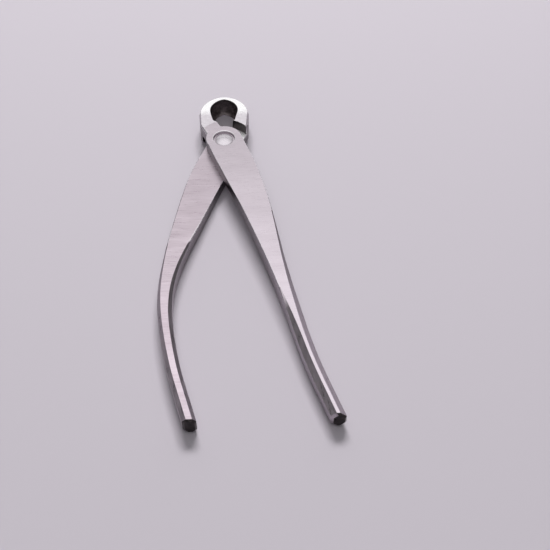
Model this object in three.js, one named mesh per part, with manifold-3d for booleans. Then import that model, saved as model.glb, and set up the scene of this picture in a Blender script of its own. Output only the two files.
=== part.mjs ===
// A bonsai knob cutter: two forged steel levers crossed on one riveted pivot.
// Each lever is one forging that runs from its handle through a flat lapped boss into a C-shaped jaw.
// Millimetres. The pivot axis is Z through the origin, the rest plane is z = 0 and the jaws point to +Y.

import * as THREE from 'three';
import { mergeVertices } from 'three/addons/utils/BufferGeometryUtils.js';
import loadManifold from 'manifold-3d';

// Lap and boss at the pivot
const leverThickness = 6.1;
const lapClearance = 0.1;
const bossRadius = 9.5;

// Both handles, measured along -Y from the pivot: how far each reaches, and how far its end or its bow spreads
const upperReach = 169.8;
const upperSpread = 47.7;
const upperGripWidth = 6.5;
const lowerReach = 170.6;
const lowerSpread = 27.6;
const lowerGripWidth = 5.9;
const gripHeight = 9.6;
const thickenStart = 26;
const thickenEnd = 105;
const edgeBreak = 0.3;
const endBevel = 0.9;
const handleSteps = 64;

// The handles' stations: how far each lies from the pivot, how far it stands off the tool's axis and how wide
// the handle is there. The outer facets face away from the other handle, and the inner ones towards it.
const upperHandle = {
  shank: { reach: 24, offset: 8.2, width: 18 },
  neck: { reach: 50, offset: 16, width: 14.2 },
  bow: { reach: 84, offset: 24.5, width: 8.7 },
  grip: { reach: 110, offset: 30.8, width: 6.8 },
  palm: { reach: 140, offset: 38.1, width: 6.5 },
  end: { reach: upperReach, offset: upperSpread, width: upperGripWidth },
  outerFacet: { start: 38, end: 130, size: 2.7 },
  innerFacet: { start: 91, end: 135, size: 2.4 },
};
const lowerHandle = {
  shank: { reach: 24, offset: 9.5, width: 18 },
  neck: { reach: 50, offset: 17.1, width: 14.2 },
  bow: { reach: 84, offset: 25.5, width: 8.4 },
  grip: { reach: 110, offset: lowerSpread, width: 6.7 },
  palm: { reach: 140, offset: 23.3, width: 6.1 },
  end: { reach: lowerReach, offset: 15.1, width: lowerGripWidth },
  outerFacet: { start: 55, end: 122, size: 1.75 },
  innerFacet: { start: 36, end: 118, size: 1.65 },
};

// Jaws
const tipReach = 34.7;
const headHalfWidth = 13.4;
const headOgive = 1.0;
const headRounding = 1.8;
const neckHalfWidth = 12.9;
const neckShoulder = 11.5;
const neckFoot = 2.5;
const tipWall = 2.3;
const eyeHalfWidth = 7.6;
const eyeOgive = 1.6;
const eyeTaper = THREE.MathUtils.degToRad(12);
const eyeFlank = 6.4;
const eyeLipHalfWidth = 3.7;
const eyeHeelHalfWidth = 1.5;
const eyeHeelOverlap = 0.5;
const eyeUnderShare = 0.72;
const shoulderRadius = 15.2;
const padRadius = 13.8;
const faceDropAtPad = 0.3;
const faceDropAtTip = 0.55;
const hollowSetback = 8.7;
const hollowHalfHeight = 8.2;
const hollowDepth = 0.3;
const edgeLand = 0.6;
const seamGap = 0.1;

// Rivet
const pinRadius = 3.6;
const runningClearance = 0.08;
const headSeatClearance = 0.05;
const rivetHeadRadius = 4.7;
const rivetHeadRise = 1.5;
const recessRadius = 5.7;
const recessDepth = 1.2;
const recessDraft = 0.4;
const tailRadius = 4.8;
const tailDepth = 1.6;

// Fineness of round forms, and how far a cutter reaches past what it cuts
const roundSides = 72;
const arcSteps = 26;
const bevelSteps = 4;
const cutReach = 5;

const stackHeight = 2 * leverThickness + lapClearance;
const lapTop = leverThickness + lapClearance;

const wasm = await loadManifold();
wasm.setup();

// A closed three.js geometry as a solid that can be joined and cut
function solid(geometry) {
  const bare = geometry.clone();
  bare.deleteAttribute('normal');
  bare.deleteAttribute('uv');
  const merged = mergeVertices(bare, 1e-4);
  const corners = merged.index.array;
  const kept = [];
  for (let i = 0; i < corners.length; i += 3) {
    const [a, b, c] = [corners[i], corners[i + 1], corners[i + 2]];
    if (a !== b && b !== c && c !== a) kept.push(a, b, c);
  }
  const mesh = new wasm.Mesh({
    numProp: 3,
    vertProperties: new Float32Array(merged.attributes.position.array),
    triVerts: new Uint32Array(kept),
  });
  return new wasm.Manifold(mesh);
}

function geometryOf(body) {
  const mesh = body.getMesh();
  const geometry = new THREE.BufferGeometry();
  geometry.setAttribute('position', new THREE.BufferAttribute(new Float32Array(mesh.vertProperties), 3));
  geometry.setIndex(new THREE.BufferAttribute(new Uint32Array(mesh.triVerts), 1));
  geometry.computeVertexNormals();
  return geometry;
}

// A solid turned about Z from a profile of [radius, height] points that starts and ends on the axis
function turned(profile) {
  const points = profile.map(([radius, height]) => new THREE.Vector2(radius, height));
  return solid(new THREE.LatheGeometry(points, roundSides).rotateX(Math.PI / 2));
}

function disc(radius, low, high) {
  return turned([[0, low], [radius, low], [radius, high], [0, high]]);
}

// Turns a lever over about its length, as the second forging is laid under the first
function turnOver(geometry) {
  return geometry.rotateY(Math.PI).translate(0, 0, stackHeight);
}

function ease(start, end, from, to, at) {
  return from + (to - from) * THREE.MathUtils.smoothstep(at, start, end);
}

// The eight corners of a handle's section at one station, anticlockwise seen from the handle's end
function sectionCorners(halfWidth, low, high, outer, inner) {
  return [
    [-halfWidth + inner, low],
    [halfWidth - outer, low],
    [halfWidth, low + outer],
    [halfWidth, high - outer],
    [halfWidth - outer, high],
    [-halfWidth + inner, high],
    [-halfWidth, high - inner],
    [-halfWidth, low + inner],
  ];
}

// The direction of a handle's centre line, level with the rest plane
function heading(path, at) {
  const tangent = path.getTangent(at);
  return new THREE.Vector2(tangent.x, tangent.y).normalize();
}

function placeSection(path, at, corners) {
  const centre = path.getPoint(at);
  const along = heading(path, at);
  return corners.map(([side, height]) => [centre.x - along.y * side, centre.y + along.x * side, height]);
}

// Slides a section's points along the bar until they lie in one plane square to the tool
function squareCut(points, along, plane) {
  return points.map(([x, y, z]) => [x + along.x * (plane - y) / along.y, plane, z]);
}

// Skins a row of sections that have the same number of corners, and caps both ends
function loft(sections) {
  const sides = sections[0].length;
  const faces = [];
  for (let s = 0; s < sections.length - 1; s += 1) {
    for (let k = 0; k < sides; k += 1) {
      const a = s * sides + k;
      const b = s * sides + (k + 1) % sides;
      faces.push(a, b, b + sides, a, b + sides, a + sides);
    }
  }
  const last = (sections.length - 1) * sides;
  for (let k = 1; k < sides - 1; k += 1) {
    faces.push(0, k + 1, k);
    faces.push(last, last + k, last + k + 1);
  }
  const geometry = new THREE.BufferGeometry();
  geometry.setAttribute('position', new THREE.Float32BufferAttribute(sections.flat(2), 3));
  geometry.setIndex(faces);
  return solid(geometry);
}

// A handle's centre line in plan, with its width as the third coordinate
function handlePath(handle) {
  const stations = [handle.shank, handle.neck, handle.bow, handle.grip, handle.palm, handle.end];
  const points = stations.map(({ reach, offset, width }) => new THREE.Vector3(offset, -reach, width));
  return new THREE.CatmullRomCurve3([new THREE.Vector3(0, 0, 2 * bossRadius), ...points], false, 'catmullrom');
}

function facetAt(facet, y) {
  return ease(facet.start, facet.end, edgeBreak, facet.size, y);
}

// The bar of a lever: flat and wide at the boss, narrow, deep and eight-sided at the grip
function handleBar(handle, gripLow) {
  const path = handlePath(handle);
  const sections = [];
  for (let i = 0; i <= handleSteps; i += 1) {
    const at = i / handleSteps;
    const point = path.getPoint(at);
    const low = ease(thickenStart, thickenEnd, lapTop, gripLow, -point.y);
    const high = ease(thickenStart, handle.end.reach, stackHeight, gripLow + gripHeight, -point.y);
    const outer = facetAt(handle.outerFacet, -point.y);
    const inner = facetAt(handle.innerFacet, -point.y);
    sections.push(placeSection(path, at, sectionCorners(point.z / 2, low, high, outer, inner)));
  }
  const along = heading(path, 1);
  sections.push(squareCut(sections.pop(), along, -handle.end.reach));
  sections.push(squareCut(bevelledEnd(path, handle, gripLow), along, -handle.end.reach - endBevel));
  return loft(sections);
}

// The last section, drawn in on every side so that the handle's end has a bevel all round.
// Drawing in the four square sides and the slanted ones by the same amount shortens the facets' legs.
function bevelledEnd(path, handle, gripLow) {
  const legLoss = endBevel * (2 - Math.SQRT2);
  const inset = sectionCorners(
    handle.end.width / 2 - endBevel,
    gripLow + endBevel,
    gripLow + gripHeight - endBevel,
    handle.outerFacet.size - legLoss,
    handle.innerFacet.size - legLoss,
  );
  return placeSection(path, 1, inset);
}

// Half an ogive from its peak on the axis, down the -X side, to the angle where it stops
function ogivePoints(halfWidth, ogive, peak, stop) {
  const radius = halfWidth + ogive;
  const centre = peak - Math.sqrt(radius * radius - ogive * ogive);
  const start = Math.PI - Math.acos(ogive / radius);
  const points = [];
  for (let i = 0; i <= arcSteps; i += 1) {
    const angle = start + (Math.PI + stop - start) * (i / arcSteps);
    points.push(new THREE.Vector2(ogive + radius * Math.cos(angle), centre + radius * Math.sin(angle)));
  }
  return points;
}

// Closes a half outline with its mirror image across the tool's axis
function mirroredShape(half) {
  const other = half.slice().reverse().map((p) => new THREE.Vector2(-p.x, p.y));
  if (Math.abs(half[0].x) < 1e-6) other.pop();
  return new THREE.Shape([...half, ...other]);
}

// The blank that both jaws are cut from, with its outer edges rounded over
function headBlank() {
  const half = ogivePoints(headHalfWidth, headOgive, tipReach, 0);
  half.push(new THREE.Vector2(-neckHalfWidth, neckShoulder));
  half.push(new THREE.Vector2(-Math.sqrt(bossRadius ** 2 - neckFoot ** 2), neckFoot));
  const geometry = new THREE.ExtrudeGeometry(mirroredShape(half), {
    depth: stackHeight - 2 * headRounding,
    bevelThickness: headRounding,
    bevelSize: headRounding,
    bevelOffset: -headRounding,
    bevelSegments: bevelSteps,
  });
  return solid(geometry.translate(0, 0, headRounding));
}

// Draws a cutter in towards the tool's axis, the more the nearer it is to the tool's underside
function narrowedBelow(geometry, turnedOver) {
  const place = geometry.attributes.position;
  for (let i = 0; i < place.count; i += 1) {
    const height = turnedOver ? stackHeight - place.getZ(i) : place.getZ(i);
    place.setX(i, place.getX(i) * THREE.MathUtils.lerp(eyeUnderShare, 1, height / stackHeight));
  }
  return geometry;
}

// The eye between the jaws: a pointed arch whose flanks close in towards the boss and the underside
function eyeCutter(turnedOver) {
  const half = ogivePoints(eyeHalfWidth, eyeOgive, tipReach - tipWall, eyeTaper);
  const flankEnd = half[half.length - 1];
  half.push(new THREE.Vector2(
    flankEnd.x + eyeFlank * Math.sin(eyeTaper),
    flankEnd.y - eyeFlank * Math.cos(eyeTaper),
  ));
  half.push(new THREE.Vector2(-eyeLipHalfWidth, Math.sqrt(padRadius ** 2 - eyeLipHalfWidth ** 2)));
  half.push(new THREE.Vector2(-eyeHeelHalfWidth, bossRadius - eyeHeelOverlap));
  const depth = stackHeight + 2 * cutReach;
  const geometry = new THREE.ExtrudeGeometry(mirroredShape(half), { depth, bevelEnabled: false });
  return solid(narrowedBelow(geometry.translate(0, 0, -cutReach), turnedOver));
}

// The spherical hollow inside the jaws, which thins them to their cutting edges at the seam
function hollowCutter() {
  const centre = tipReach - hollowSetback;
  const ball = new THREE.SphereGeometry(1, roundSides, roundSides / 2);
  ball.scale(eyeHalfWidth + hollowDepth, hollowSetback - edgeLand, hollowHalfHeight);
  return solid(ball.translate(0, centre, stackHeight / 2));
}

// What is ground off a jaw's upper face beyond the raised pad: a shallow slope down to the tip
function faceGrind() {
  const slope = (faceDropAtTip - faceDropAtPad) / (tipReach - padRadius);
  const far = tipReach + cutReach;
  const heightAt = (y) => stackHeight - faceDropAtPad - slope * (y - padRadius);
  const outline = new THREE.Shape([
    new THREE.Vector2(0, heightAt(0)),
    new THREE.Vector2(far, heightAt(far)),
    new THREE.Vector2(far, stackHeight + cutReach),
    new THREE.Vector2(0, stackHeight + cutReach),
  ]);
  const width = 2 * (headHalfWidth + cutReach);
  const geometry = new THREE.ExtrudeGeometry(outline, { depth: width, bevelEnabled: false });
  const yzx = new THREE.Matrix4().makeBasis(
    new THREE.Vector3(0, 1, 0),
    new THREE.Vector3(0, 0, 1),
    new THREE.Vector3(1, 0, 0),
  );
  geometry.translate(0, 0, -width / 2).applyMatrix4(yzx);
  const pad = disc(padRadius, -cutReach, stackHeight + 2 * cutReach);
  return solid(geometry).subtract(pad);
}

// One jaw with its neck: the -X half of the head, relieved below the lap so that the other boss can turn
function jaw(turnedOver) {
  const grind = faceGrind();
  const underGrind = solid(turnOver(geometryOf(grind)));
  const relief = disc(shoulderRadius, -cutReach, lapTop);
  const length = tipReach + 2 * cutReach;
  const halfCutter = new THREE.BoxGeometry(headHalfWidth + cutReach, length, stackHeight + 2 * cutReach);
  halfCutter.translate((headHalfWidth + cutReach - seamGap) / 2, length / 2 - cutReach, stackHeight / 2);
  return headBlank()
    .subtract(eyeCutter(turnedOver))
    .subtract(hollowCutter())
    .subtract(grind)
    .subtract(underGrind)
    .subtract(relief)
    .subtract(solid(halfCutter));
}

// A lever lying on top, with its jaw on the -X side and its handle on the +X side.
// The lower lever is made this way too, and turned over once it is complete.
function lever(handle, gripLow, pivotCut, turnedOver) {
  return jaw(turnedOver)
    .add(disc(bossRadius, lapTop, stackHeight))
    .add(handleBar(handle, gripLow))
    .subtract(pivotCut);
}

// The bore and the shallow round recess that the rivet's head sits in
function headPocket() {
  const bore = pinRadius + runningClearance;
  const floor = stackHeight - recessDepth;
  const mouth = recessRadius + recessDraft * (cutReach / recessDepth);
  return turned([
    [0, -cutReach],
    [bore, -cutReach],
    [bore, floor],
    [recessRadius - recessDraft, floor],
    [mouth, stackHeight + cutReach],
    [0, stackHeight + cutReach],
  ]);
}

// The bore and the countersink that the rivet's tail is peened into, flush with the underside
function tailPocket() {
  const bore = pinRadius + runningClearance;
  const flare = (tailRadius - pinRadius) / tailDepth;
  const mouth = tailRadius + runningClearance + flare * cutReach;
  return turned([
    [0, -cutReach],
    [bore, -cutReach],
    [bore, stackHeight - tailDepth],
    [mouth, stackHeight + cutReach],
    [0, stackHeight + cutReach],
  ]);
}

// The rivet: a flush coned tail, a plain shank and a low domed head
function rivet() {
  const seat = stackHeight - recessDepth + headSeatClearance;
  const profile = [[0, 0], [tailRadius, 0], [pinRadius, tailDepth], [pinRadius, seat], [rivetHeadRadius, seat]];
  const skirt = rivetHeadRise / 3;
  const domeSteps = 6;
  for (let i = 0; i <= domeSteps; i += 1) {
    const angle = (Math.PI / 2) * (i / domeSteps);
    const radius = i === domeSteps ? 0 : rivetHeadRadius * Math.cos(angle);
    profile.push([radius, seat + skirt + (rivetHeadRise - skirt) * Math.sin(angle)]);
  }
  return turned(profile);
}

function steel(colour, roughness) {
  return new THREE.MeshStandardMaterial({ color: colour, metalness: 1, roughness });
}

function piece(name, geometry, material) {
  const mesh = new THREE.Mesh(geometry, material);
  mesh.name = name;
  return mesh;
}

const satinSteel = steel(0xc3bdc2, 0.38);
const rivetSteel = steel(0xcfcacd, 0.32);

// Both grips stand on the rest plane, so the lower lever's grip is set from its own upper side
const upperBody = lever(upperHandle, 0, headPocket(), false);
const lowerBody = lever(lowerHandle, stackHeight - gripHeight, tailPocket(), true);

const knobCutter = new THREE.Group();
knobCutter.add(piece('upper_lever', geometryOf(upperBody), satinSteel));
knobCutter.add(piece('lower_lever', turnOver(geometryOf(lowerBody)), satinSteel));
knobCutter.add(piece('pivot_rivet', geometryOf(rivet()), rivetSteel));

export default knobCutter;
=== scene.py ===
"""A closed bonsai knob cutter on a pale floor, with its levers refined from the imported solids."""
import math
from collections import namedtuple

import bmesh
import bpy
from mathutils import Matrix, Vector


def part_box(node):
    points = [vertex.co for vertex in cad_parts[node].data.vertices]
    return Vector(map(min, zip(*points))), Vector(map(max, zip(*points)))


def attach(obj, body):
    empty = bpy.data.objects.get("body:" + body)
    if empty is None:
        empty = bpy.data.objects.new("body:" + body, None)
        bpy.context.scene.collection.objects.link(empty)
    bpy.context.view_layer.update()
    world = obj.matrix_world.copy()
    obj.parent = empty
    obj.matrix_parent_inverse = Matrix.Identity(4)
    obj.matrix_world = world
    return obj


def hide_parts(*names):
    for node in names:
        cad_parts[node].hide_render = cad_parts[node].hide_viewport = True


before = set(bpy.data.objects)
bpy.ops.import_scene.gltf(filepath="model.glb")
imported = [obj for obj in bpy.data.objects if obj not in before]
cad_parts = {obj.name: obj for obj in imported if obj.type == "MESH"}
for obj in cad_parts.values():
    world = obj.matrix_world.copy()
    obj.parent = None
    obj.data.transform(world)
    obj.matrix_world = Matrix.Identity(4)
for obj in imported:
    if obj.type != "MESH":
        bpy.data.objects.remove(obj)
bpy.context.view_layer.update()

MM = 0.001

# Noise: how often it repeats in a metre along X, Y and Z, its finer layers, and where in the pattern it starts
Noise = namedtuple("Noise", "repeats layers start")

# Ground top of a lever: the turn of its marks, its darker and lighter colour, the marks' spacing and strength
Ground = namedtuple("Ground", "turn colours spacing strength")

# Lamp: where it hangs, the point it faces, its size, its brightness, and whether the steel mirrors it
Softbox = namedtuple("Softbox", "name place target width length radiance mirrored")

# The finishes of a lever, by their places in its list of materials; DARK and HOLLOW are painted shade
GROUND, SIDE, JAW, DARK, EDGE, HOLLOW = range(6)

# Camera: where it stands, how far it looks down and to the side, and its lens
CAMERA_PLACE = (13.3 * MM, -376.6 * MM, 347.0 * MM)
CAMERA_DEPRESSION = math.radians(50.0)
CAMERA_YAW = math.radians(2.1)
CAMERA_NEAREST = 0.01
FOCAL_PIXELS = 938
IMAGE_PIXELS = 550
SENSOR_WIDTH = 36.0

# Refining of the levers
WELD_DISTANCE = 0.002 * MM
FLAT_ANGLE = math.radians(0.4)
SHARP_ANGLE = math.radians(32)
SQUARE_EDGE_ANGLE = math.radians(60)
EDGE_RADIUS = 0.28 * MM
EDGE_STEPS = 3
EDGE_PROFILE = 0.5
RIM_RADIUS = 0.12 * MM
RIM_HEIGHT = 11.0 * MM
SEAM_REACH = 0.12 * MM
SEAM_GAP = 0.004 * MM

# Rivet
RIVET_SIDES = 96
DOME_STEPS = 14
RIVET_TAIL_RADIUS = 4.8 * MM
RIVET_TAIL_DEPTH = 1.6 * MM
RIVET_PIN_RADIUS = 3.6 * MM
RIVET_SEAT = 11.15 * MM
RIVET_HEAD_RADIUS = 4.7 * MM
RIVET_RIM = 0.2 * MM
RIVET_TOP = 12.65 * MM

# Places on the levers that tell their finishes apart
END_LINE = -167.5 * MM
EYE_MIDDLE = Vector((0, 21.5 * MM, 0))
EYE_REACH = 13.5 * MM
EYE_FOOT = 13.5 * MM
JAW_LINE = 9.0 * MM
RECESS_REACH = 6.2 * MM
SHOULDER_RADIUS = 15.2 * MM
SHOULDER_BAND = 0.6 * MM
SHOULDER_INSET = 2.0 * MM
NARROW_STRIP = 0.75 * MM

# How much a face looks up or one way, as parts of its normal, where one finish gives way to another
FACE_UP = 0.85
STRIP_UP = 0.55
WALL_UP = 0.3
EYE_WALL_UP = 0.93
EYE_FACING = 0.05
SHOULDER_FACING = -0.7
END_FACING = -0.4
BEVEL_FACING = -0.35

# What all finishes share: how noise is laid out, the part of its range that is used, and how metallic they are
NOISE_ROUGHNESS = 0.6
START_SHIFTS = (1, 1.7, 0.6)
NOISE_SPAN = (0.3, 0.7)
NARROW_SPAN = (0.35, 0.65)
STEEL_METALLIC = 1.0
MARK_DEPTH = 0.02 * MM

# Ground tops, with painted shade that darkens them towards the pivot
UPPER_GROUND = Ground(turn=math.radians(16), colours=((0.51, 0.455, 0.5), (0.59, 0.53, 0.58)),
                      spacing=0.6 * MM, strength=0.12)
LOWER_GROUND = Ground(turn=math.radians(-17), colours=((0.46, 0.39, 0.435), (0.6, 0.52, 0.575)),
                      spacing=0.9 * MM, strength=0.4)
MARK_STRETCH = (0.1, 1, 0.5)
MARK_LAYERS = 3
MARK_START = 3.1
PATCH_NOISE = Noise((30, 130, 100), 2, 7.7)
TONE_SPAN = (0.75, 1.25)
GROUND_ROUGHNESS = (0.24, 0.4)
PIVOT_SHADE_START = 10.0 * MM
PIVOT_SHADE_END = -110.0 * MM
PIVOT_SHADE_SHARE = 0.5
PIVOT_SHADE_COLOUR = (0.36, 0.32, 0.35)

# The lap face, where the levers lie on each other; in front of the pivot it is painted near-white, a painted
# highlight, and made matt
LAP_HEIGHT = 6.15 * MM
LAP_BAND = 0.3 * MM
LAP_RADIUS = 14.6 * MM
LAP_BLUR = 1.2 * MM
LAP_HIGHLIGHT_COLOUR = (0.97, 0.95, 0.97)
LAP_ROUGHNESS = 0.2

# Sides, with nicks, and painted shade that darkens them near the pivot, between the levers
SIDE_COLOURS = ((0.39, 0.348, 0.382), (0.52, 0.465, 0.507))
SIDE_ROUGHNESS = (0.26, 0.36)
SIDE_STRENGTH = 0.12
STREAK_NOISE = Noise((900, 45, 900), 3, 1.3)
NICK_NOISE = Noise((1500, 700, 1500), 2, 5.9)
NICK_SPAN = (0.69, 0.74)
NICK_COLOUR = (0.6, 0.57, 0.6)
SIDE_SHADE_START = -35.0 * MM
SIDE_SHADE_END = -120.0 * MM
SIDE_SHADE_WOBBLE = 8.0 * MM
SIDE_SHADE_COLOUR = (0.15, 0.13, 0.142)

# Jaws, from satin to polish towards the cutting edge, where they are also painted near-white: a painted
# highlight
JAW_NOISE = Noise((500, 1100, 900), 3, 2.2)
JAW_TURN = 0.3
JAW_STRENGTH = 0.06
JAW_ROUGHNESS = (0.3, 0.16)
SATIN_COLOURS = ((0.53, 0.495, 0.53), (0.66, 0.62, 0.66))
POLISH_AND_HIGHLIGHT_START = 18.6 * MM
POLISH_AND_HIGHLIGHT_END = 23.6 * MM
POLISH_AND_HIGHLIGHT_WOBBLE = 0.6 * MM
POLISH_AND_HIGHLIGHT_COLOUR = (0.95, 0.94, 0.95)

# Painted shade: near-black on the handle ends, the shoulders and the hollow of the jaws
DARK_METALLIC = 0.8
PAINTED_SHADE_COLOURS = ((0.027, 0.022, 0.024), (0.072, 0.06, 0.063))
HOLLOW_SHADE_COLOURS = ((0.085, 0.072, 0.075), (0.23, 0.195, 0.2))
DARK_ROUGHNESS = (0.25, 0.45)
MOTTLE_NOISE = Noise((420, 420, 420), 4, 4.4)
MOTTLE_STRENGTH = 0.2
MOTTLE_DEPTH = 0.04 * MM

# Steel of the rivet
RIVET_COLOURS = ((0.44, 0.41, 0.44), (0.5, 0.47, 0.5))
RIVET_ROUGHNESS = (0.18, 0.3)
SPECK_NOISE = Noise((1900, 1900, 1900), 2, 0.7)
SPECK_TURN = 0.1
DENT_NOISE = Noise((520, 520, 520), 2, 9.3)
DENT_TURN = 0.5
DENT_STRENGTH = 0.35
DENT_DEPTH = 0.1 * MM

# Worn edges
EDGE_COLOURS = ((0.56, 0.53, 0.56), (0.7, 0.67, 0.7))
EDGE_ROUGHNESS = (0.2, 0.34)
WEAR_NOISE = Noise((700, 700, 700), 3, 8.8)

# Floor
FLOOR_REACH = 6
FLOOR_DROP = 0.02 * MM
FLOOR_COLOUR = (0.56, 0.52, 0.57)
FLOOR_ROUGHNESS = 0.7
FLOOR_SPECULAR = 0.2

# Lamps
SOFTBOXES = (
    Softbox("ceiling_softbox", place=(0, -0.2, 0.9), target=(0, -0.2, 0),
            width=0.9, length=1.4, radiance=0.5, mirrored=False),
    Softbox("near_softbox", place=(0, -0.35, 0.88), target=(0, -0.35, 0),
            width=0.9, length=0.6, radiance=0.3, mirrored=False),
    Softbox("back_softbox", place=(0, 1.5, 0.5), target=(0, 0, 0.5),
            width=2.2, length=1.0, radiance=0.8, mirrored=True),
    Softbox("key_lamp", place=(0.04, 1.4, 1.5), target=(0, -0.07, 0),
            width=1.0, length=0.44, radiance=31.0, mirrored=False),
)

# Room: the grey that it lights with, and how bright the camera and the steel see it, by the sine of the height
ROOM_GREY = (0.13, 0.13, 0.135)
ROOM_SINES = (0.28, 0.9)
ROOM_LEVELS = (0.14, 1.7)


def new_material(name, metallic=0.0):
    """A node material, its tree and its shader."""
    material = bpy.data.materials.new(name)
    material.use_nodes = True
    tree = material.node_tree
    shader = tree.nodes["Principled BSDF"]
    shader.inputs["Metallic"].default_value = metallic
    return material, tree, shader


def node(tree, kind, inputs=None, **settings):
    """A node with its settings, and each of its inputs linked or given a value."""
    made = tree.nodes.new(kind)
    for name, value in settings.items():
        setattr(made, name, value)
    for socket, source in (inputs or {}).items():
        if isinstance(source, bpy.types.NodeSocket):
            tree.links.new(source, made.inputs[socket])
        else:
            made.inputs[socket].default_value = source
    return made


def calculated(tree, operation, *values):
    """The result of one operation on values."""
    return node(tree, "ShaderNodeMath", dict(enumerate(values)), operation=operation).outputs[0]


def place_parts(tree):
    """The X, Y and Z of a point in the piece's own coordinates."""
    place = node(tree, "ShaderNodeTexCoord")
    return node(tree, "ShaderNodeSeparateXYZ", {"Vector": place.outputs["Object"]}).outputs


def stretched_noise(tree, noise, turn=0.0):
    """Noise in the piece's own coordinates, turned about Z and stretched."""
    place = node(tree, "ShaderNodeTexCoord")
    start = [noise.start * shift for shift in START_SHIFTS]
    mapped = node(tree, "ShaderNodeMapping", {"Vector": place.outputs["Object"], "Location": start,
                                             "Rotation": (0, 0, turn), "Scale": noise.repeats})
    made = node(tree, "ShaderNodeTexNoise", {"Vector": mapped.outputs["Vector"], "Scale": 1,
                                            "Detail": noise.layers, "Roughness": NOISE_ROUGHNESS})
    return made.outputs["Fac"]


def remap(tree, value, span, target=(0, 1)):
    """A value stretched from one range to another."""
    made = node(tree, "ShaderNodeMapRange", {"Value": value, "From Min": span[0], "From Max": span[1],
                                            "To Min": target[0], "To Max": target[1]})
    return made.outputs["Result"]


def mixed_colour(tree, factor, first, second):
    """A colour between two, by a factor."""
    made = node(tree, "ShaderNodeMix", data_type="RGBA")
    tree.links.new(factor, made.inputs["Factor"])
    for socket, colour in (("A", first), ("B", second)):
        target = next(s for s in made.inputs if s.name == socket and s.type == "RGBA")
        if isinstance(colour, bpy.types.NodeSocket):
            tree.links.new(colour, target)
        else:
            target.default_value = (*colour, 1)
    return next(s for s in made.outputs if s.type == "RGBA")


def bumped(tree, height, strength, depth):
    """A normal from a height."""
    made = node(tree, "ShaderNodeBump", {"Height": height, "Strength": strength, "Distance": depth})
    return made.outputs["Normal"]


def link_shader(tree, shader, colour, roughness, normal=None):
    """Gives a shader its colour and roughness, and its normal where there is one."""
    tree.links.new(colour, shader.inputs["Base Color"])
    tree.links.new(roughness, shader.inputs["Roughness"])
    if normal is not None:
        tree.links.new(normal, shader.inputs["Normal"])


def lap_mask(tree, parts):
    """One on the lap face in front of the pivot, where the levers lie on each other, nought elsewhere: where
    the painted highlight goes.
    """
    flat = node(tree, "ShaderNodeCombineXYZ", {"X": parts["X"], "Y": parts["Y"]})
    radius = node(tree, "ShaderNodeVectorMath", {0: flat.outputs["Vector"]}, operation="LENGTH")
    near = remap(tree, radius.outputs["Value"], (LAP_RADIUS, LAP_RADIUS + LAP_BLUR), (1, 0))
    front = remap(tree, parts["Y"], (0, LAP_BLUR))
    level = calculated(tree, "COMPARE", parts["Z"], LAP_HEIGHT, LAP_BAND)
    return calculated(tree, "MULTIPLY", calculated(tree, "MULTIPLY", near, level), front)


def ground_steel(name, ground):
    """Steel ground across the lever, with painted shade that darkens it towards the pivot, and on the lap a
    painted near-white highlight with a matt roughness.
    """
    material, tree, shader = new_material(name, STEEL_METALLIC)
    parts = place_parts(tree)
    repeats = [stretch / ground.spacing for stretch in MARK_STRETCH]
    marks = stretched_noise(tree, Noise(repeats, MARK_LAYERS, MARK_START), ground.turn)
    patches = stretched_noise(tree, PATCH_NOISE, ground.turn)
    tone = calculated(tree, "ADD", marks, patches)
    fresh = mixed_colour(tree, remap(tree, tone, TONE_SPAN), *ground.colours)
    # Painted shade: the tops are darkened towards the pivot
    pivot_shade = remap(tree, parts["Y"], (PIVOT_SHADE_END, PIVOT_SHADE_START), (0, PIVOT_SHADE_SHARE))
    pivot_shaded = mixed_colour(tree, pivot_shade, fresh, PIVOT_SHADE_COLOUR)
    # Painted highlight: the lap face in front of the pivot is painted near-white
    lap_highlight_and_matt = lap_mask(tree, parts)
    colour = mixed_colour(tree, lap_highlight_and_matt, pivot_shaded, LAP_HIGHLIGHT_COLOUR)
    sheen = remap(tree, marks, NOISE_SPAN, GROUND_ROUGHNESS)
    roughness = calculated(tree, "MULTIPLY_ADD", lap_highlight_and_matt, LAP_ROUGHNESS, sheen)
    link_shader(tree, shader, colour, roughness, bumped(tree, marks, ground.strength, MARK_DEPTH))
    return material


def side_steel(name, turn):
    """Steel of the sides: drawn lengthwise, with a few nicks, and painted shade that darkens them near the
    pivot.
    """
    material, tree, shader = new_material(name, STEEL_METALLIC)
    streaks = stretched_noise(tree, STREAK_NOISE, turn)
    nicks = stretched_noise(tree, NICK_NOISE, turn)
    patchy = remap(tree, streaks, NOISE_SPAN, (-SIDE_SHADE_WOBBLE, SIDE_SHADE_WOBBLE))
    along = calculated(tree, "ADD", place_parts(tree)["Y"], patchy)
    bare = mixed_colour(tree, remap(tree, streaks, NOISE_SPAN), *SIDE_COLOURS)
    # Painted shade: the sides darken towards the pivot, where the levers shade each other
    side_shaded = mixed_colour(tree, remap(tree, along, (SIDE_SHADE_END, SIDE_SHADE_START)), bare, SIDE_SHADE_COLOUR)
    colour = mixed_colour(tree, remap(tree, nicks, NICK_SPAN), side_shaded, NICK_COLOUR)
    roughness = remap(tree, streaks, NOISE_SPAN, SIDE_ROUGHNESS)
    link_shader(tree, shader, colour, roughness, bumped(tree, streaks, SIDE_STRENGTH, MARK_DEPTH))
    return material


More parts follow.
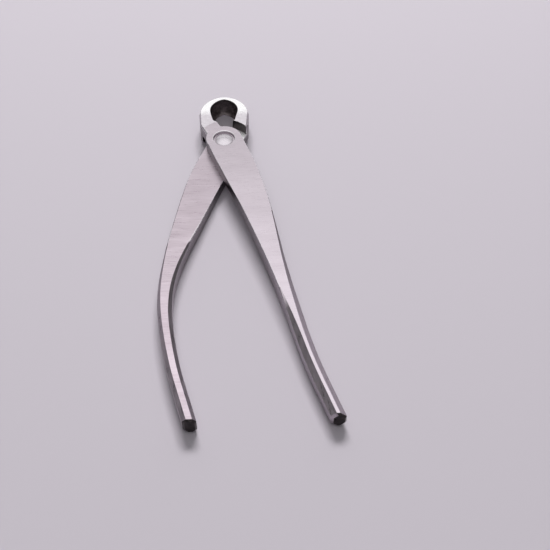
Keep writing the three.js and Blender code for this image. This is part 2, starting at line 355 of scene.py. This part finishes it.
def jaw_steel(name):
    """Steel of the jaws: satin near the pivot, and towards the cutting edge polished and painted near-white,
    partly real polish and partly painted highlight.
    """
    material, tree, shader = new_material(name, STEEL_METALLIC)
    fine = stretched_noise(tree, JAW_NOISE, JAW_TURN)
    wobble = remap(tree, fine, NOISE_SPAN, (-POLISH_AND_HIGHLIGHT_WOBBLE, POLISH_AND_HIGHLIGHT_WOBBLE))
    along = calculated(tree, "ADD", place_parts(tree)["Y"], wobble)
    polish_and_highlight = remap(tree, along, (POLISH_AND_HIGHLIGHT_START, POLISH_AND_HIGHLIGHT_END))
    satin = mixed_colour(tree, remap(tree, fine, NOISE_SPAN), *SATIN_COLOURS)
    # Partly painted highlight: the polished zone is also painted near-white
    colour = mixed_colour(tree, polish_and_highlight, satin, POLISH_AND_HIGHLIGHT_COLOUR)
    roughness = remap(tree, polish_and_highlight, (0, 1), JAW_ROUGHNESS)
    link_shader(tree, shader, colour, roughness, bumped(tree, fine, JAW_STRENGTH, MARK_DEPTH))
    return material


def painted_shade_steel(name, colours):
    """Steel painted near-black and mottled: painted shade."""
    material, tree, shader = new_material(name, DARK_METALLIC)
    mottle = stretched_noise(tree, MOTTLE_NOISE)
    colour = mixed_colour(tree, remap(tree, mottle, NARROW_SPAN), *colours)
    roughness = remap(tree, mottle, NOISE_SPAN, DARK_ROUGHNESS)
    link_shader(tree, shader, colour, roughness, bumped(tree, mottle, MOTTLE_STRENGTH, MOTTLE_DEPTH))
    return material


def rivet_steel(name):
    """Bright steel of the rivet, faintly dented by the hammer that set it."""
    material, tree, shader = new_material(name, STEEL_METALLIC)
    dents = stretched_noise(tree, DENT_NOISE, DENT_TURN)
    specks = stretched_noise(tree, SPECK_NOISE, SPECK_TURN)
    colour = mixed_colour(tree, remap(tree, specks, NOISE_SPAN), *RIVET_COLOURS)
    roughness = remap(tree, specks, NOISE_SPAN, RIVET_ROUGHNESS)
    link_shader(tree, shader, colour, roughness, bumped(tree, dents, DENT_STRENGTH, DENT_DEPTH))
    return material


def edge_steel(name):
    """Steel worn bright along the edges."""
    material, tree, shader = new_material(name, STEEL_METALLIC)
    wear = stretched_noise(tree, WEAR_NOISE)
    colour = mixed_colour(tree, remap(tree, wear, NARROW_SPAN), *EDGE_COLOURS)
    link_shader(tree, shader, colour, remap(tree, wear, NOISE_SPAN, EDGE_ROUGHNESS))
    return material


def is_end(middle, normal):
    """True on the end of a handle, apart from the inner bevel of the right one, which stays bright."""
    looks_back = middle.y < END_LINE and normal.y < END_FACING
    return looks_back and (middle.x < 0 or normal.x > BEVEL_FACING)


def is_hollow(flat, normal):
    """True on the walls of the eye between the jaws."""
    to_eye = EYE_MIDDLE - flat
    near = to_eye.length < EYE_REACH and flat.y > EYE_FOOT
    inward = normal.dot(to_eye) > EYE_FACING * to_eye.length
    return near and inward and abs(normal.z) < EYE_WALL_UP


def is_shoulder(flat, normal):
    """True on the wall of a jaw that curves round the other lever's boss."""
    near = abs(flat.length - SHOULDER_RADIUS) < SHOULDER_BAND
    return near and normal.dot(flat) < SHOULDER_FACING * flat.length


def is_narrow(face):
    """True for the thin slanted strips that break the long edges of a handle."""
    longest = max(edge.calc_length() for edge in face.edges)
    slanted = STRIP_UP < abs(face.normal.z) < FACE_UP
    return slanted and face.calc_area() / longest < NARROW_STRIP


def finish_of(face):
    """The finish of a lever's face, from where it is and which way it looks."""
    middle = face.calc_center_median()
    normal = face.normal
    flat = Vector((middle.x, middle.y, 0))
    # Painted shade: the handle ends, facing away from the light, are painted near-black
    if is_end(middle, normal):
        return DARK
    # Painted shade: the walls of the eye are painted near-black
    if is_hollow(flat, normal):
        return HOLLOW
    # Painted shade: the shoulder wall, in the shade of the jaw, is painted near-black
    if is_shoulder(flat, normal):
        return DARK
    if flat.length < RECESS_REACH and middle.z > RIVET_SEAT:
        return GROUND
    on_jaw = middle.y > JAW_LINE and flat.length > SHOULDER_RADIUS - SHOULDER_INSET
    if on_jaw and abs(normal.z) > WALL_UP:
        return JAW
    if abs(normal.z) > FACE_UP:
        return GROUND
    return EDGE if is_narrow(face) else SIDE


def square_edges(mesh):
    """The square outer edges and those of the eye's upper rim, without the edges along the jaws' seam."""
    outer, rim = [], []
    for edge in mesh.edges:
        if not edge.is_convex or edge.calc_face_angle() < SQUARE_EDGE_ANGLE:
            continue
        middle = (edge.verts[0].co + edge.verts[1].co) / 2
        if min(abs(vertex.co.x) for vertex in edge.verts) < SEAM_REACH and middle.y > JAW_LINE:
            continue
        dark = {DARK, HOLLOW}.intersection(face.material_index for face in edge.link_faces)
        if not dark or middle.y <= EYE_FOOT:
            outer.append(edge)
        elif middle.z > RIM_HEIGHT:
            rim.append(edge)
    return outer, rim


def round_edges(mesh, edges, radius):
    """Rounds edges over, with the finish of worn edges."""
    bmesh.ops.bevel(mesh, geom=edges, offset=radius, segments=EDGE_STEPS, profile=EDGE_PROFILE,
                    affect="EDGES", offset_type="OFFSET", material=EDGE,
                    clamp_overlap=False, loop_slide=True)


def mark_sharp(mesh):
    """Keeps the crease between facets, and lets worn edges run smoothly into what they join."""
    for edge in mesh.edges:
        worn = EDGE in [face.material_index for face in edge.link_faces]
        edge.smooth = worn or edge.calc_face_angle(0) < SHARP_ANGLE


def close_seam(mesh):
    """Brings the flat ends of the jaws together, so that no light falls between them."""
    for vertex in mesh.verts:
        if abs(vertex.co.x) < SEAM_REACH and vertex.co.y > JAW_LINE:
            vertex.co.x = math.copysign(SEAM_GAP, vertex.co.x)


def keep_inside(mesh, node_name):
    """Holds the rounded copy inside the box of its solid."""
    low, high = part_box(node_name)
    for vertex in mesh.verts:
        vertex.co = Vector(max(a, min(b, c)) for a, b, c in zip(low, high, vertex.co))


def refined_mesh(node_name):
    """A lever's solid with flat faces joined, square edges rounded and a finish on each face."""
    mesh = bmesh.new()
    mesh.from_mesh(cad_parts[node_name].data)
    bmesh.ops.remove_doubles(mesh, verts=mesh.verts, dist=WELD_DISTANCE)
    bmesh.ops.dissolve_limit(mesh, angle_limit=FLAT_ANGLE, verts=mesh.verts, edges=mesh.edges)
    mesh.normal_update()
    for face in mesh.faces:
        face.material_index = finish_of(face)
    outer, rim = square_edges(mesh)
    round_edges(mesh, outer, EDGE_RADIUS)
    round_edges(mesh, [edge for edge in rim if edge.is_valid], RIM_RADIUS)
    keep_inside(mesh, node_name)
    close_seam(mesh)
    mesh.normal_update()
    mark_sharp(mesh)
    for face in mesh.faces:
        face.smooth = True
    return mesh


def placed(name, mesh, materials):
    """An object in the scene, made of a mesh and its materials."""
    data = bpy.data.meshes.new(name)
    mesh.to_mesh(data)
    mesh.free()
    for material in materials:
        data.materials.append(material)
    made = bpy.data.objects.new(name, data)
    bpy.context.scene.collection.objects.link(made)
    return made


def lever_finishes(side, ground):
    """The finishes of a lever, in the order of their numbers."""
    return [
        ground_steel(side + "_ground", ground),
        side_steel(side + "_sides", ground.turn),
        jaw_steel(side + "_jaw"),
        painted_shade_steel(side + "_dark", PAINTED_SHADE_COLOURS),
        edge_steel(side + "_edges"),
        painted_shade_steel(side + "_hollow", HOLLOW_SHADE_COLOURS),
    ]


def dress_lever(side, ground):
    """A refined lever in place of its solid."""
    piece = placed(side + "_lever_forging", refined_mesh(side + "_lever"), lever_finishes(side, ground))
    weights = piece.modifiers.new("flat_faces", "WEIGHTED_NORMAL")
    weights.mode = "FACE_AREA"
    weights.keep_sharp = True
    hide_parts(side + "_lever")
    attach(piece, side)


def ring(mesh, radius, height):
    """Points in a circle about Z, or the one point on Z where there is no radius."""
    if radius == 0:
        return [mesh.verts.new((0, 0, height))]
    angles = [2 * math.pi * i / RIVET_SIDES for i in range(RIVET_SIDES)]
    return [mesh.verts.new((radius * math.cos(a), radius * math.sin(a), height)) for a in angles]


def turned_mesh(outline):
    """A body of revolution about Z from its outline, given as radii and heights."""
    mesh = bmesh.new()
    rings = [ring(mesh, radius, height) for radius, height in outline]
    for low, high in zip(rings, rings[1:]):
        for i in range(RIVET_SIDES):
            j = (i + 1) % RIVET_SIDES
            corners = [low[i % len(low)], low[j % len(low)], high[j % len(high)], high[i % len(high)]]
            mesh.faces.new(list(dict.fromkeys(corners)))
    bmesh.ops.recalc_face_normals(mesh, faces=mesh.faces)
    for face in mesh.faces:
        face.smooth = True
    return mesh


def rivet_outline():
    """The rivet from its flush tail to the top of its head, a cap of a ball with a soft rim."""
    outline = [(0, 0), (RIVET_TAIL_RADIUS, 0), (RIVET_PIN_RADIUS, RIVET_TAIL_DEPTH),
               (RIVET_PIN_RADIUS, RIVET_SEAT), (RIVET_HEAD_RADIUS - RIVET_RIM, RIVET_SEAT),
               (RIVET_HEAD_RADIUS, RIVET_SEAT + RIVET_RIM)]
    rise = RIVET_TOP - RIVET_SEAT - RIVET_RIM
    ball = (RIVET_HEAD_RADIUS ** 2 + rise ** 2) / (2 * rise)
    for i in range(1, DOME_STEPS + 1):
        radius = RIVET_HEAD_RADIUS * (1 - i / DOME_STEPS)
        outline.append((radius, RIVET_TOP - ball + math.sqrt(ball ** 2 - radius ** 2)))
    return outline


def dress_rivet():
    """A smooth rivet in place of its solid."""
    piece = placed("rivet_forging", turned_mesh(rivet_outline()), [rivet_steel("rivet_head")])
    piece.data.set_sharp_from_angle(angle=SHARP_ANGLE)
    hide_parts("pivot_rivet")
    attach(piece, "lower")


def add_floor():
    """A plain pale floor just under the tool."""
    material, _, shader = new_material("floor_paint")
    shader.inputs["Base Color"].default_value = (*FLOOR_COLOUR, 1)
    shader.inputs["Roughness"].default_value = FLOOR_ROUGHNESS
    shader.inputs["Specular IOR Level"].default_value = FLOOR_SPECULAR
    mesh = bmesh.new()
    bmesh.ops.create_grid(mesh, x_segments=1, y_segments=1, size=FLOOR_REACH)
    floor = placed("floor", mesh, [material])
    floor.location.z = -FLOOR_DROP


def add_softbox(softbox):
    """A lamp that faces a point, with the brightness that a mirror of it would show."""
    lamp = bpy.data.lights.new(softbox.name, "AREA")
    lamp.shape = "RECTANGLE"
    lamp.size = softbox.width
    lamp.size_y = softbox.length
    lamp.energy = softbox.radiance * math.pi * softbox.width * softbox.length
    stand = bpy.data.objects.new(softbox.name, lamp)
    stand.location = softbox.place
    facing = Vector(softbox.target) - Vector(softbox.place)
    stand.rotation_euler = facing.to_track_quat("-Z", "Y").to_euler()
    stand.visible_glossy = softbox.mirrored
    bpy.context.scene.collection.objects.link(stand)


def light_world():
    """A room with grey walls and a pale ceiling, as the camera and the steel see it, and plain grey light."""
    world = bpy.data.worlds.new("room")
    world.use_nodes = True
    tree = world.node_tree
    place = node(tree, "ShaderNodeTexCoord")
    parts = node(tree, "ShaderNodeSeparateXYZ", {"Vector": place.outputs["Generated"]})
    room = remap(tree, parts.outputs["Z"], ROOM_SINES, ROOM_LEVELS)
    path = node(tree, "ShaderNodeLightPath")
    seen = calculated(tree, "MAXIMUM", path.outputs["Is Camera Ray"], path.outputs["Is Glossy Ray"])
    colour = mixed_colour(tree, seen, ROOM_GREY, room)
    tree.links.new(colour, tree.nodes["Background"].inputs["Color"])
    bpy.context.scene.world = world


def add_camera():
    """A camera at the photograph's viewing angle."""
    camera = bpy.data.cameras.new("camera")
    camera.sensor_width = SENSOR_WIDTH
    camera.lens = SENSOR_WIDTH * FOCAL_PIXELS / IMAGE_PIXELS
    camera.clip_start = CAMERA_NEAREST
    stand = bpy.data.objects.new("camera", camera)
    stand.location = CAMERA_PLACE
    stand.rotation_euler = (math.pi / 2 - CAMERA_DEPRESSION, 0, -CAMERA_YAW)
    bpy.context.scene.collection.objects.link(stand)
    bpy.context.scene.camera = stand


add_camera()
dress_lever("upper", UPPER_GROUND)
dress_lever("lower", LOWER_GROUND)
dress_rivet()
add_floor()
for box in SOFTBOXES:
    add_softbox(box)
light_world()
bpy.context.scene.view_settings.view_transform = "Standard"
